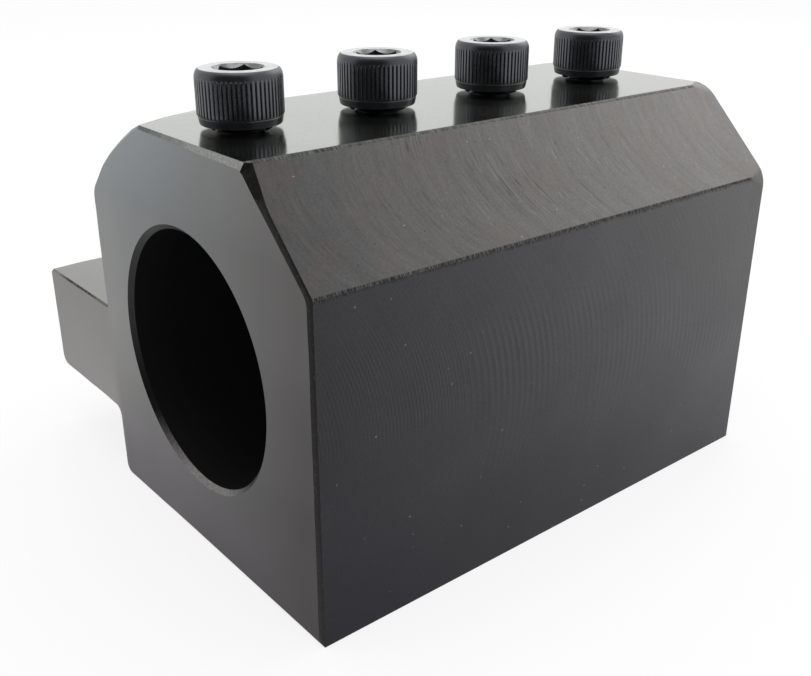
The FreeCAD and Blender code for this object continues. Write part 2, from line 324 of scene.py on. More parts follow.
    def cutter_arcs(self, feed, across, centre, radius, side):
        """Gives, for a point of a milled face, where the cutter's axis stood when its rim passed there.

        The cutter feeds along one direction with its axis at a level across it. The result is in
        millimetres along the feed, so whatever depends on it alone follows the cutter's arcs.
        """
        offset = self.math("SUBTRACT", self.along(across), centre)
        square = self.math("MULTIPLY", offset, offset)
        rest = self.math("SUBTRACT", radius * radius, square)
        reach = self.math("SQRT", self.math("MAXIMUM", rest, 0.0))
        return self.math("ADD", self.along(feed), self.math("MULTIPLY", reach, side))

    def streaks(self, across_marks, along_marks, fine, length, detail=4.0, roughness=0.6, seed=0.0):
        """Gives noise drawn out along the marks: fine waves per millimetre across them, long along them."""
        stretched = self.vector(self.times(across_marks, fine), self.times(along_marks, 1 / length), seed)
        return self.noise(1.0, detail, roughness, stretched)

    def hairlines(self, across_marks, along_marks, fine, length, width, seed=0.0):
        """Gives sparse thin lines drawn out along the marks: the level lines of a stretched noise."""
        noise = self.streaks(across_marks, along_marks, fine, length, 2.0, 0.5, seed)
        off = self.math("ABSOLUTE", self.math("SUBTRACT", noise, 0.5))
        return self.ramp(off, 0.3 * width, width, 1.0, 0.0)

    def bump(self, height, depth):
        """Raises the surface by the height field times a depth in millimetres."""
        node = self.node("ShaderNodeBump")
        node.inputs["Strength"].default_value = 1.0
        node.inputs["Distance"].default_value = depth * MM
        self.feed(node.inputs["Height"], height)
        previous = self.surface.inputs["Normal"].links
        if previous:
            self.feed(node.inputs["Normal"], previous[0].from_socket)
        self.feed(self.surface.inputs["Normal"], node.outputs[0])

    def whitened(self, share):
        """Finishes a floor that camera and mirrors see part of the way to pure white."""
        material = self.done()
        rays = self.node("ShaderNodeLightPath")
        seen = self.math("MAXIMUM", rays.outputs["Is Camera Ray"], rays.outputs["Is Glossy Ray"])
        seen = self.math("MAXIMUM", seen, rays.outputs["Is Transmission Ray"])
        white = self.node("ShaderNodeEmission")
        white.inputs["Color"].default_value = WHITE
        blend = self.node("ShaderNodeMixShader")
        self.feed(blend.inputs[0], self.math("MULTIPLY", seen, share))
        self.feed(blend.inputs[1], self.surface.outputs[0])
        self.feed(blend.inputs[2], white.outputs[0])
        self.feed(self.tree.nodes["Material Output"].inputs["Surface"], blend.outputs[0])
        return material

    def done(self):
        """Joins colour and roughness to the shader and gives the material."""
        self.feed(self.surface.inputs["Base Color"], self.color)
        self.feed(self.surface.inputs["Roughness"], self.roughness)
        return self.material


UP_RIGHT_CHAMFER = (-math.sqrt(0.5), 0, math.sqrt(0.5))
UP_LEFT_CHAMFER = (math.sqrt(0.5), 0, math.sqrt(0.5))
# The face mills: radius in mm, and feed in mm for each turn of the one that cut the sides
CHAMFER_MILL = 24.0
SIDE_MILL = 45.0
SIDE_FEED = 0.8


def lapped_face(colors):
    """Finish of the end faces: a smooth satin with a faint cloudy stain, hairline scratches and painted light
    and shade.
    """
    finish = Finish("lapped_steel", colors.front, 0.42)
    x, z = finish.along(AXIS_X), finish.along(AXIS_Z)
    on_block = finish.ramp(x, -40, -36)
    on_tongue = finish.math("SUBTRACT", 1.0, on_block)
    beside_bore = finish.times(finish.ramp(z, 14, 2), finish.ramp(z, -34, -22), on_block)
    painted_shade_corner = finish.times(finish.ramp(x, -10, -34), finish.ramp(z, -26, -40))
    # Painted light and shade: darker and warmer to the foot, lighter left and at the top edge, darker right
    # and in the lower left corner
    finish.tint(finish.ramp(z, 30, -40, 0.0, 0.55), (0.125, 0.112, 0.116))
    finish.grade(
        (x, -36, 38, 1.19, 0.50), (z, -44, 6, 1.18, 0.94),
        (z, -16, -2, 0.86, 1.0, on_block), (z, -44, -12, 0.52, 1.02, on_block),
        (x, -22, -30, 1.0, 1.05, on_block), (z, 0, 14, 1.0, 1.12, on_block),
        (x, -38, 42, 1.14, 0.86, beside_bore), (z, -25, 0, 1.20, 1.06, on_tongue),
        (z, 28, 44, 0.99, 1.36), (painted_shade_corner, 0, 1, 1.0, 0.84),
        (finish.math("SUBTRACT", x, z), 26, 50, 1.0, 0.93))
    finish.stain(finish.times(finish.ramp(z, 16, 34), finish.ramp(x, 14, -10)), (0.945, 1.0, 1.065))
    finish.stain(finish.ramp(x, 16, 32), (1.07, 1.0, 1.01))
    finish.stain(finish.ramp(z, -16, -34), (1.035, 1.0, 1.06))
    # This one covers the block's foot and the whole tongue
    finish.stain(finish.part(finish.ramp(z, -20, -34), on_block), (1.035, 1.0, 1.03))
    finish.stain(finish.ramp(x, -28, -42), (1.0, 1.0, 0.96))
    cloud = finish.noise(0.035, 2.0, 0.5)
    finish.mottle((cloud, 0.94, 1.06))
    finish.stain(finish.ramp(finish.noise(0.12, 3.0, 0.6), 0.42, 0.75), (0.97, 0.98, 1.0))
    grain = finish.streaks(z, x, 5.0, 9.0)
    finish.mottle((grain, 0.975, 1.025))
    finish.roughen(cloud, -0.03, 0.05)
    finish.bump(grain, 0.0012)
    return finish.done()


def milled_chamfer(name, colors, up_slope, centre):
    """Finish of a chamfer: coarse arcs of a face mill, some cut deeper than the rest, and painted light and
    shade.
    """
    finish = Finish(name, colors.chamfer, 0.44)
    y, level = finish.along(AXIS_Y), finish.along(up_slope)
    place = finish.cutter_arcs(AXIS_Y, up_slope, centre, CHAMFER_MILL, 1.0)
    fine = finish.streaks(place, level, 2.8, 7.0, 4.0, 0.7)
    coarse = finish.streaks(place, level, 0.5, 24.0, 2.0, 0.5)
    crowd = finish.times(
        finish.ramp(finish.noise(0.10, 2.0, 0.5), 0.44, 0.60),
        finish.ramp(y, -52, -34, 0.15, 1.0), finish.ramp(y, 0, 26, 1.0, 0.35))
    deep = finish.times(finish.hairlines(place, level, 0.9, 34.0, 0.014), crowd)
    light = finish.times(finish.hairlines(place, level, 1.1, 18.0, 0.016, 3.7), crowd)
    # Painted light and shade: darker towards the front end and up the slope
    finish.grade((y, -55, 60, 0.62, 1.02), (y, -62, -46, 0.82, 1.0))
    finish.stain(finish.ramp(y, -30, -50), (0.985, 1.0, 1.045))
    finish.drift(1.339, (AXIS_Y, 0.0008), (up_slope, -0.0073))
    finish.grade((fine, 0.28, 0.72, 0.84, 1.17), (coarse, 0.3, 0.7, 0.93, 1.07))
    finish.shade(finish.math("MULTIPLY_ADD", deep, -0.40, 1.0))
    finish.shade(finish.math("MULTIPLY_ADD", light, 0.34, 1.0))
    finish.mottle((finish.noise(2.2, 3.0, 0.6), 0.88, 1.12))
    finish.tint(finish.ramp(finish.noise(0.09, 2.0), 0.45, 0.75, 0.0, 0.14), (0.10, 0.12, 0.12))
    finish.tint(finish.ramp(finish.noise(0.16, 2.0), 0.52, 0.72, 0.0, 0.18), (0.13, 0.095, 0.08))
    finish.tint(finish.specks(2.4, 0.15, 0.20), (0.35, 0.35, 0.34))
    finish.tint(finish.specks(2.1, 0.18, 0.20, 0.7), (0.035, 0.035, 0.035))
    finish.roughen(fine, -0.06, 0.06, (0.25, 0.75))
    finish.bump(fine, 0.010)
    finish.bump(deep, -0.008)
    return finish.done()


def milled_side(name, colors):
    """Finish of the upright sides: dark, with even feed arcs, sparse bright specks, a nicked top edge and
    painted light and shade.
    """
    finish = Finish(name, colors.side, 0.46)
    y, level = finish.along(AXIS_Y), finish.along(AXIS_Z)
    leading, trailing = (finish.cutter_arcs(AXIS_Y, AXIS_Z, -6.0, SIDE_MILL, rim) for rim in (-1.0, 1.0))
    narrow, wide, back_cut = (
        finish.math("SINE", finish.times(place, 2 * math.pi / wave))
        for place, wave in ((leading, SIDE_FEED), (leading, 2 * SIDE_FEED), (trailing, SIDE_FEED)))
    fine = finish.streaks(leading, level, 3.5, 12.0, 3.0)
    uneven = finish.streaks(leading, level, 0.16, 16.0, 2.0)
    # Painted highlight: the arcs are painted stronger in a band along the middle where light shines on them,
    # the wider ones only behind the front third
    highlight_band = finish.math("MULTIPLY_ADD", uneven, -8.0, finish.math("ABSOLUTE", finish.along((0, 0.10, 1.0))))
    highlight_band = finish.ramp(highlight_band, 12, 0, 0.25, 1.0, smooth=True)
    behind = finish.ramp(y, -34, -20)
    wave = finish.math(
        "MULTIPLY_ADD", finish.math("MULTIPLY_ADD", back_cut, 0.6, narrow),
        finish.math("SUBTRACT", 1.0, behind), finish.times(wide, behind))
    wave = finish.times(wave, highlight_band, finish.ramp(finish.noise(0.06, 2.0), 0.38, 0.62, 0.35, 1.25))
    # Painted light and shade: lighter towards the back and up the side, darker at the foot
    finish.grade((y, -60, 62, 0.86, 1.35))
    finish.drift(1.136, (AXIS_Y, 0.0062), (AXIS_Z, 0.0071))
    finish.grade((level, -41, -16, 0.77, 1.02), (level, 12, -4, 0.99, 1.05))
    # Painted highlight: at the foot, lighter at both ends than between
    ends = finish.math("POWER", finish.math("ABSOLUTE", finish.along((0, 1 / 62, 0))), 2.0)
    ends = finish.math("MULTIPLY_ADD", ends, 0.24, 0.94)
    finish.shade(finish.part(ends, finish.ramp(level, -6, -22)))
    finish.shade(finish.math("MULTIPLY_ADD", wave, 0.09, 1.0))
    finish.grade((fine, 0.25, 0.75, 0.94, 1.06))
    # Painted shade: darker and bluer towards the foot
    finish.tint(finish.ramp(level, 10, -41, 0.0, 0.30), (0.040, 0.040, 0.047))
    finish.mottle((finish.noise(2.4, 3.0, 0.6), 0.90, 1.10), (finish.noise(0.05, 3.0, 0.6), 0.95, 1.05))
    slant = finish.along((0, 0.6, 0.8))
    finish.stain(finish.ramp(slant, 0, 50), (1.0, 1.0, 0.95))
    finish.stain(finish.ramp(slant, -20, -60), (1.02, 1.0, 1.07))
    finish.tint(finish.specks(3.2, 0.26, 0.13), (0.15, 0.15, 0.14))
    finish.tint(finish.specks(3.4, 0.28, 0.20, 0.7), (0.030, 0.030, 0.032))
    teeth = finish.ramp(finish.streaks(y, level, 5.0, 2.0, 1.0), 0.44, 0.56)
    edge = finish.ramp(finish.math("MULTIPLY_ADD", uneven, 0.8, level), 24.9, 25.5)
    finish.tint(finish.times(teeth, edge, 0.75), (0.020, 0.020, 0.020))
    finish.bump(fine, 0.004)
    finish.bump(narrow, 0.0008)
    return finish.done()


def ground_top(name, color, roughness):
    """Finish of the flats that a grinder made: bright, with straight fine lines along the block."""
    finish = Finish(name, color, roughness)
    lines = finish.streaks(finish.along(AXIS_X), finish.along(AXIS_Y), 4.0, 30.0, 4.0)
    cloud = finish.noise(0.06, 2.0)
    grain = finish.noise(1.3, 3.0, 0.6)
    finish.mottle((grain, 0.95, 1.05), (lines, 0.95, 1.05), (cloud, 0.95, 1.04))
    finish.roughen(cloud, -0.03, 0.05)
    finish.bump(grain, 0.0035)
    finish.bump(lines, 0.0018)
    return finish.done()


def plain_face(name, color, roughness):
    """Finish of the faces that lie in the slot or on the bench: milled with straight lines."""
    finish = Finish(name, color, roughness)
    lines = finish.streaks(finish.along(AXIS_X), finish.along(AXIS_Y), 2.5, 40.0, 4.0)
    finish.mottle((lines, 0.92, 1.08), (finish.noise(0.05, 3.0), 0.94, 1.05))
    finish.bump(lines, 0.003)
    return finish.done()


def filed_bevel(name, color, glint, left_share=1.0):
    """Finish of the hand-filed edges: rough and speckled with painted glints, and darker to the left if its
    share is below 1.
    """
    finish = Finish(name, color, 0.5)
    grit = finish.noise(2.4, 4.0, 0.7)
    finish.mottle((grit, 0.7, 1.3))
    # Painted glints on the peaks of the grit
    finish.tint(finish.ramp(grit, 0.62, 0.72, 0.0, 0.6), glint)
    ragged = finish.math("MULTIPLY_ADD", finish.noise(0.35, 2.0, 0.5), 24.0, finish.along(AXIS_X))
    finish.grade((ragged, -2, 22, left_share, 1.0))
    finish.bump(grit, 0.03)
    return finish.done()


def patchy_bevel(name, color):
    """Finish of the tongue's front edge: dark in ragged patches and lighter between them."""
    finish = Finish(name, color, 0.5)
    x, grit = finish.along(AXIS_X), finish.noise(1.6, 4.0, 0.7)
    patch = finish.math("MAXIMUM", finish.ramp(x, -60, -66), finish.ramp(x, -48, -42, 0.0, 0.55))
    finish.tint(finish.math("MAXIMUM", patch, finish.ramp(grit, 0.52, 0.62, 0.0, 0.8)), (0.20, 0.20, 0.19))
    finish.bump(grit, 0.03)
    return finish.done()


def burred_edge(name, color):
    """Finish of the long edges, where the cutters left a fine burr: ticks across the edge, light and dark."""
    finish = Finish(name, color, 0.5)
    ticks = finish.streaks(finish.along(AXIS_Y), finish.along(AXIS_Z), 4.5, 2.0, 2.0)
    grit = finish.noise(2.4, 4.0, 0.7)
    finish.tint(finish.ramp(ticks, 0.46, 0.58), (0.11, 0.11, 0.105))
    finish.mottle((grit, 0.6, 1.4))
    finish.bump(grit, 0.03)
    return finish.done()


def mouth_ring(colors):
    """Finish of the bore's mouth: dark round the upper left, lighter and mottled towards the bottom."""
    finish = Finish("mouth_ring", colors.mouth, 0.45)
    grit = finish.noise(1.6, 4.0, 0.7)
    low = finish.ramp(finish.along(AXIS_Z), -18, -26)
    finish.tint(finish.times(low, finish.ramp(grit, 0.30, 0.62, 0.35, 1.0)), (0.24, 0.235, 0.23))
    finish.bump(grit, 0.02)
    return finish.done()


def black_bore(name, color):
    """Finish of the bore and the clamp holes: soft black oxide with faint honing rings."""
    finish = Finish(name, color, 0.6, metallic=0.0)
    rings = finish.streaks(finish.along(AXIS_Y), finish.along(AXIS_X), 3.0, 30.0)
    finish.mottle((rings, 0.8, 1.2))
    finish.surface.inputs["Specular IOR Level"].default_value = 0.12
    finish.bump(rings, 0.003)
    return finish.done()


def black_oxide(name, color, roughness, worn, gloss=1.75):
    """Finish of the screws: oiled black oxide, thinner on raised edges."""
    finish = Finish(name, color, roughness, metallic=0.0)
    finish.surface.inputs["IOR"].default_value = gloss
    finish.surface.inputs["Specular Tint"].default_value = (0.89, 0.92, 1.0, 1.0)
    grit = finish.noise(4.0, 3.0, 0.6)
    finish.mottle((finish.noise(0.5, 3.0), 0.8, 1.25))
    finish.tint(finish.ramp(grit, 0.55, 0.75, 0.0, worn), (0.12, 0.12, 0.125))
    finish.roughen(grit, -0.05, 0.08)
    finish.bump(grit, 0.003)
    return finish.done()


def bright_metal(name, color, roughness):
    """Finish of the head tops and socket lead-ins: bare metal, whose bright colour is a painted reflection.
    """
    finish = Finish(name, color, roughness)
    cloud = finish.noise(0.8, 3.0)
    grit = finish.noise(5.0, 3.0, 0.6)
    finish.mottle((cloud, 0.75, 1.25), (grit, 0.85, 1.15))
    finish.roughen(cloud, -0.04, 0.06)
    finish.bump(grit, 0.002)
    return finish.done()


# Meshes


def put(name, data):
    """Puts a new object in the scene."""
    item = bpy.data.objects.new(name, data)
    bpy.context.scene.collection.objects.link(item)
    return item


def new_piece(name, mesh_data, body, nodes):
    """Puts a finished mesh in the scene, on its body, in place of its CAD nodes."""
    piece = put(name, mesh_data)
    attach(piece, body)
    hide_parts(*nodes)


def modified_mesh(item):
    """Gives the mesh of an object as its modifiers leave it, and takes the object away."""
    bpy.context.view_layer.update()
    evaluated = item.evaluated_get(bpy.context.evaluated_depsgraph_get())
    result = bpy.data.meshes.new_from_object(evaluated)
    bpy.data.objects.remove(item)
    return result


def cut(mesh_data, cutter_data, operation="DIFFERENCE"):
    """Gives a new mesh: one mesh less another, or the two joined, or what they share."""
    base, tool = put("base", mesh_data), put("tool", cutter_data)
    modifier = base.modifiers.new("cut", "BOOLEAN")
    modifier.operation = operation
    modifier.solver = "EXACT"
    modifier.object = tool
    modifier.material_mode = "TRANSFER"
    result = modified_mesh(base)
    bpy.data.objects.remove(tool)
    return result


def soften(mesh_data, edge_angle):
    """Shades the mesh smooth up to its edges, with flat faces kept flat next to their bevels."""
    mesh_data.shade_smooth()
    mesh_data.set_sharp_from_angle(angle=edge_angle)
    holder = put("holder", mesh_data)
    modifier = holder.modifiers.new("weights", "WEIGHTED_NORMAL")
    modifier.keep_sharp = True
    modifier.weight = FLAT_FACE_WEIGHT
    return modified_mesh(holder)


def dress(mesh_data, materials, finish_of):
    """Gives each face of a mesh the material whose name its place and direction call for."""
    mesh_data.materials.clear()
    for material in materials.values():
        mesh_data.materials.append(material)
    names = list(materials)
    for face in mesh_data.polygons:
        face.material_index = names.index(finish_of(face.center, face.normal))


def finish_mesh(bm, name):
    """Merges doubles, turns the faces outwards and gives the mesh."""
    bmesh.ops.remove_doubles(bm, verts=bm.verts, dist=MERGE_DISTANCE)
    bmesh.ops.recalc_face_normals(bm, faces=bm.faces)
    mesh_data = bpy.data.meshes.new(name)
    bm.to_mesh(mesh_data)
    bm.free()
    return mesh_data


def turned(name, outline, steps, axis=AXIS_Z, level=0):
    """Spins (reach, height) pairs, from the axis out and back, into a solid at a level along the block."""
    centre, out, up = Vector((0, level, 0)), Vector(AXIS_X), Vector(axis)
    bm = bmesh.new()
    points = [bm.verts.new(centre + reach * out + height * up) for reach, height in outline]
    edges = [bm.edges.new(pair) for pair in zip(points, points[1:])]
    bmesh.ops.spin(
        bm, geom=points + edges, cent=centre, axis=axis, angle=2 * math.pi, steps=steps,
        use_merge=True, use_duplicate=False)
    return finish_mesh(bm, name)


# Block

# Width in mm of the filed bevel on the end face at each corner of the outline, in the corners' order
FILED_WIDTHS = (1.2, 0.9, 1.4, 0.4, 0.5, 0.3, 0.3, 0.3, 0.3, 0.4)
BACK_WIDTHS = (0.5, 0.5, 0.6, 0.5, 0.5, 0.5, 0.5, 0.5, 0.5, 0.5)
# Rounding in mm of the end face's own corners, in the corners' order
FACE_ROUNDINGS = (0.6, 1.2, 1.1, 0.6, 1.6, 0.8, 1.0, 2.4, 2.2, 2.0)
BACK_ROUNDINGS = (0.6, 2.4, 3.0, 1.5, 1.2, 0.6, 0.8, 1.2, 0.6, 1.2)
# Rounding in mm of the block's own edges at the front and the back, where they are worn more than between
WORN_ROUNDINGS = (0.0, 0.0, 0.0, 0.0, 0.8, 0.8, 1.1, 2.5, 2.3, 2.1)
BACK_WORN_ROUNDINGS = (0.0, 2.4, 3.0, 1.5, 1.2, 0.0, 0.8, 1.2, 0.0, 1.2)
# Corners of the outline by their number
TOP_RIGHT, TOP_LEFT = 2, 3
TONGUE_ROOTS = (5, 8)
# The edge between the top and the right chamfer is rounded this much more than the other long edges
TOP_RIGHT_SHARE = 1.8
# Reach of the worn left top corner at the front face, over the flat top and down the chamfer
WORN_ON_TOP = 7.8 * MM
WORN_ON_CHAMFER = 15 * MM
# How much of that reach is left right behind the bevel, and further back at a share of the worn length
WORN_SHARES = (0.98, 0.5)
WORN_MIDDLE = 0.4
# How much shorter the wear at the back end is than the worn length
BACK_WEAR = 0.3
# How full a rounded corner is and how full the worn one is, from 0 for a flat cut to 1 for a sharp corner
ROUND_FULLNESS = 0.55
WORN_FULLNESS = 0.24
CORNER_STEPS = 4
STEP_ALONG_EDGE = 1.6 * MM
# How far the filing wanders, and over which length
UNEVEN_FILING = 0.12 * MM
FILING_LENGTH = 5 * MM
BORE_STEPS = 128
HOLE_STEPS = 48


def outline_corners(sizes):
    """Gives the ten corners of the block's outline as (x, z), anticlockwise seen from the front."""
    right, top, base = BLOCK_HIGH.x, BLOCK_HIGH.z, BLOCK_LOW.z
    left, tongue_end = -sizes.left_side, BLOCK_LOW.x
    return [Vector(corner) for corner in (
        (right, base), (right, top - sizes.right_chamfer), (right - sizes.right_chamfer, top),
        (left + sizes.left_chamfer, top), (left, top - sizes.left_chamfer), (left, 0),
        (tongue_end, 0), (tongue_end, -sizes.tongue_thickness), (left, -sizes.tongue_thickness),
        (left, base),
    )]


def neighbours(items):
    """Gives each item with the one before it and the one after it, round a loop."""
    items = list(items)
    return zip(items[-1:] + items[:-1], items, items[1:] + items[:1])


def inward(before, here, after):
    """Gives the step that moves both edges at a corner inwards by one unit."""
    edge_in, edge_out = (here - before).normalized(), (after - here).normalized()
    normal_in, normal_out = Vector((-edge_in.y, edge_in.x)), Vector((-edge_out.y, edge_out.x))
    return (normal_in + normal_out) / (1 + normal_in.dot(normal_out))


def rounded_outline(corners, roundings, counts, wear=0.0):
    """Gives the points of an outline with rounded corners and its straight runs cut into steps.

    The top left corner is worn to a nearly flat facet instead, to the share of its reach that wear says.
    """
    arcs = []
    for index, ((before, here, after), rounding) in enumerate(zip(neighbours(corners), roundings)):
        back, forth, fullness = rounding, rounding, ROUND_FULLNESS
        if wear and index == TOP_LEFT:
            back, forth, fullness = wear * WORN_ON_TOP, wear * WORN_ON_CHAMFER, WORN_FULLNESS
        start = here + (before - here).normalized() * back
        end = here + (after - here).normalized() * forth
        arc = geometry.interpolate_bezier(
            start, start.lerp(here, fullness), end.lerp(here, fullness), end, CORNER_STEPS + 1)
        arcs.append([point.to_2d() for point in arc])
    points = []
    for arc, following, count in zip(arcs, arcs[1:] + arcs[:1], counts):
        points += arc
        points += [arc[-1].lerp(following[0], step / count) for step in range(1, count)]
    return points


def wedge_reach(point, corner, sizes):
    """Gives how much further back the front bevel reaches where the wedge over the right chamfer is filed."""
    if point.x < corner.x:
        return 0.0
    return sizes.wedge_depth * max(0.0, 1.0 - (point - corner).length / sizes.wedge_length)


def add_loop(bm, points, level, extra=None):
    """Adds a closed loop of edges at a level along the block, or further back by an extra for each point."""
    extra = extra or [0.0] * len(points)
    verts = [bm.verts.new((point.x, level + more, point.y)) for point, more in zip(points, extra)]
    return [bm.edges.new(pair) for pair in zip(verts, verts[1:] + verts[:1])]


def filed_outline(corners, widths, roundings, counts, seed, wear=0.0):
    """Gives the outline that a hand-filed bevel leaves on an end face."""
    steps = [inward(*three) for three in neighbours(corners)]
    inner = [corner + step * width * MM for corner, step, width in zip(corners, steps, widths)]
    points = rounded_outline(inner, [rounding * MM for rounding in roundings], counts, wear)
    filed = []
    for before, here, after in neighbours(points):
        wander = noise.noise(Vector((here.x / FILING_LENGTH, here.y / FILING_LENGTH, seed)))
        filed.append(here + inward(before, here, after) * wander * UNEVEN_FILING)
    return filed


def block_body(sizes):
    """Builds the block without its bore: the outline drawn along Y, with filed bevels at both ends."""
    corners = outline_corners(sizes)
    runs = [(after - here).length for _, here, after in neighbours(corners)]
    counts = [max(2, round(run / STEP_ALONG_EDGE)) for run in runs]
    plain = [sizes.edge_break] * len(corners)
    plain[TOP_RIGHT] *= TOP_RIGHT_SHARE
    for root in TONGUE_ROOTS:
        plain[root] = sizes.root_fillet
    front_worn, back_worn = (
        [max(rounding, here * MM) for rounding, here in zip(plain, worn)]
        for worn in (WORN_ROUNDINGS, BACK_WORN_ROUNDINGS))
    middle = rounded_outline(corners, plain, counts)
    behind_bevel = rounded_outline(corners, front_worn, counts, WORN_SHARES[0])
    wedge = [wedge_reach(point, corners[TOP_RIGHT], sizes) for point in behind_bevel]
    front, back = BLOCK_LOW.y + sizes.end_bevel, BLOCK_HIGH.y - sizes.end_bevel
    bm = bmesh.new()
    loops = [add_loop(bm, *row) for row in (
        (filed_outline(corners, FILED_WIDTHS, FACE_ROUNDINGS, counts, 1.5, wear=1.0), BLOCK_LOW.y),
        (behind_bevel, front, wedge),
        (rounded_outline(corners, plain, counts, WORN_SHARES[1]), front + WORN_MIDDLE * sizes.worn_corner),
        (middle, front + sizes.worn_corner),
        (middle, back - BACK_WEAR * sizes.worn_corner),
        (rounded_outline(corners, back_worn, counts), back),
        (filed_outline(corners, BACK_WIDTHS, BACK_ROUNDINGS, counts, 7.5), BLOCK_HIGH.y))]
    for first, second in zip(loops, loops[1:]):
        bmesh.ops.bridge_loops(bm, edges=first + second)
    for end in (loops[0], loops[-1]):
        bmesh.ops.contextual_create(bm, geom=end)
    return finish_mesh(bm, "holder_block")


def bore_cutter(sizes):
    """Builds what the boring tool and the mouth chamfers take out of the block."""
    radius, mouth = sizes.bore_diameter / 2, sizes.mouth_chamfer
    low, high, wide = BLOCK_LOW.y, BLOCK_HIGH.y, radius + mouth + SPARE
    outline = [
        (0, low - SPARE), (wide, low - SPARE), (radius, low + mouth),
        (radius, high - mouth), (wide, high + SPARE), (0, high + SPARE)]
    return turned("bore", outline, BORE_STEPS, axis=AXIS_Y)


def hole_cutter(sizes, level):
    """Builds what a clamp hole with its countersink takes out of the block."""
    radius, sink, top = sizes.hole_diameter / 2, sizes.hole_countersink, BLOCK_HIGH.z
    outline = [
        (0, 0), (radius, 0), (radius, top - sink), (radius + sink + SPARE, top + SPARE), (0, top + SPARE)]
    return turned("hole", outline, HOLE_STEPS, level=level)


# A face looks straight along an axis when its direction's share along it is above this
STRAIGHT = 0.999
# A face belongs to an end's bevel from this share along Y, and to a worn stretch from the second
BEVEL_LEAN, WORN_LEAN = 0.25, 0.01
# A bevel lies along a level edge when it looks up more, and sideways less, than this
LEVEL_UP, LEVEL_ASIDE = 0.2, 0.15
# The bevels of the left edges are worn as smooth as the front face above this height
WORN_FOOT = 20 * MM
# The flat top and its bevel lie above this height, and those of the tongue below it
NEAR_TOP = BLOCK_HIGH.z - 3 * MM
# The share upwards of the worn flats, and how far the two shares of a chamfer may differ
WORN_FLAT, CHAMFER_ROOM = 0.85, 0.02


def finish_of_face(centre, normal, sizes, levels):
    """Names the finish of a face of the block by where it lies and where it looks."""
    reach = math.hypot(centre.x, centre.z)
    if reach < sizes.bore_diameter / 2 + 2 * sizes.mouth_chamfer and abs(normal.y) < 0.9:
        inside = abs(centre.y) < BLOCK_HIGH.y - sizes.mouth_chamfer
        if inside and normal.x * centre.x + normal.z * centre.z < 0:
            return "bore"
        if not inside and normal.y * centre.y > 0:
            return "mouth"
    hole_reach = sizes.hole_diameter / 2 + sizes.hole_countersink
    in_hole = any(math.hypot(centre.x, centre.y - level) < hole_reach for level in levels)
    if in_hole and centre.z > 0 and normal.z < 0.9:
        return "bore"
    if abs(normal.y) > STRAIGHT:
        return "front"
    if abs(normal.y) > BEVEL_LEAN:
        if normal.z < LEVEL_UP or abs(normal.x) > LEVEL_ASIDE:
            worn_corner = normal.x < -LEVEL_ASIDE and normal.y < 0 and centre.z > WORN_FOOT
            return "front" if worn_corner else "bevel"
        # Up-facing end bevels: along the top a lit copy with a painted highlight, along the tongue dark with
        # lighter patches
        return "painted_highlight_bevel" if centre.z > NEAR_TOP else "patchy_bevel"
    worn = abs(normal.y) > WORN_LEAN
    if normal.z > STRAIGHT or (normal.z > WORN_FLAT and normal.x < 0 and worn):
        return "top" if centre.z > NEAR_TOP else "tongue_top"
    if abs(normal.x) > STRAIGHT:
        return "side"
    if normal.z < -STRAIGHT:
        return "plain"
    if normal.z > 0 and (abs(normal.z - abs(normal.x)) < CHAMFER_ROOM or worn):
        return "right_chamfer" if normal.x > 0 else "left_chamfer"
    return "long_edge"


def screw_levels():
    """Gives where the clamp screws stand along the block."""
    boxes = [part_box(name) for name in SCREW_NODES]
    return [(low.y + high.y) / 2 for low, high in boxes]


class TOOLHOLDER_OT_block(bpy.types.Operator):
    """Builds the milled block with its tongue, bore and clamp holes"""

    bl_idname = "tool_holder.block"
    bl_label = "Build Block"

    def execute(self, context):
        sizes, colors = context.scene.block_sizes, context.scene.finishes
        mesh_data = cut(block_body(sizes), bore_cutter(sizes))
        levels = screw_levels()
        for level in levels:
            mesh_data = cut(mesh_data, hole_cutter(sizes, level))
        materials = {
            "front": lapped_face(colors),
            "side": milled_side("milled_side", colors),
            "right_chamfer": milled_chamfer("right_chamfer", colors, UP_RIGHT_CHAMFER, 4.8),
            "left_chamfer": milled_chamfer("left_chamfer", colors, UP_LEFT_CHAMFER, 6.8),
            "top": ground_top("ground_top", colors.top, 0.13),
            "tongue_top": ground_top("ground_tongue", colors.tongue, 0.24),
            "plain": plain_face("planed_face", colors.side, 0.45),
            "bevel": filed_bevel("filed_bevel", colors.bevel, (0.16, 0.16, 0.155)),
            # Painted highlight: a lit copy of the filed bevel for the up-facing end bevels along the top
            "painted_highlight_bevel": filed_bevel("painted_highlight_bevel", (0.30, 0.30, 0.295), (0.50, 0.50, 0.48), 0.35),
            "patchy_bevel": patchy_bevel("patchy_bevel", colors.bevel),
            "long_edge": burred_edge("long_edge", (0.034, 0.034, 0.033)),
            "mouth": mouth_ring(colors),
            "bore": black_bore("black_bore", colors.bore),
        }
        dress(mesh_data, materials, lambda centre, normal: finish_of_face(centre, normal, sizes, levels))
        mesh_data = soften(mesh_data, BLOCK_EDGE_ANGLE)
        new_piece("holder_block", mesh_data, "holder", ["tool_block"])
        return {"FINISHED"}


# Screws

# Depth of the knurl at each step from one groove's bottom to the next, as a share of the whole
GROOVE_SHAPE = (1.0, 0.55, 0.0, 0.0, 0.0, 0.0, 0.0, 0.55)
STEPS_PER_RIDGE = len(GROOVE_SHAPE)
# The lead-in cone reaches down to this share of the socket's half width
LEAD_REACH = 0.9
LEAD_STEPS = 96
ROD_STEPS = 72
# Room left under a head, so that it doesn't touch the block when it is seated
SEAT_GAP = 0.03 * MM
# The collar's side from the seat up: mm in from the collar, mm over the head's underside
COLLAR_FOOT = ((0.38, 0.06), (0.28, 0.14), (0.21, 0.28), (0.17, 0.50))
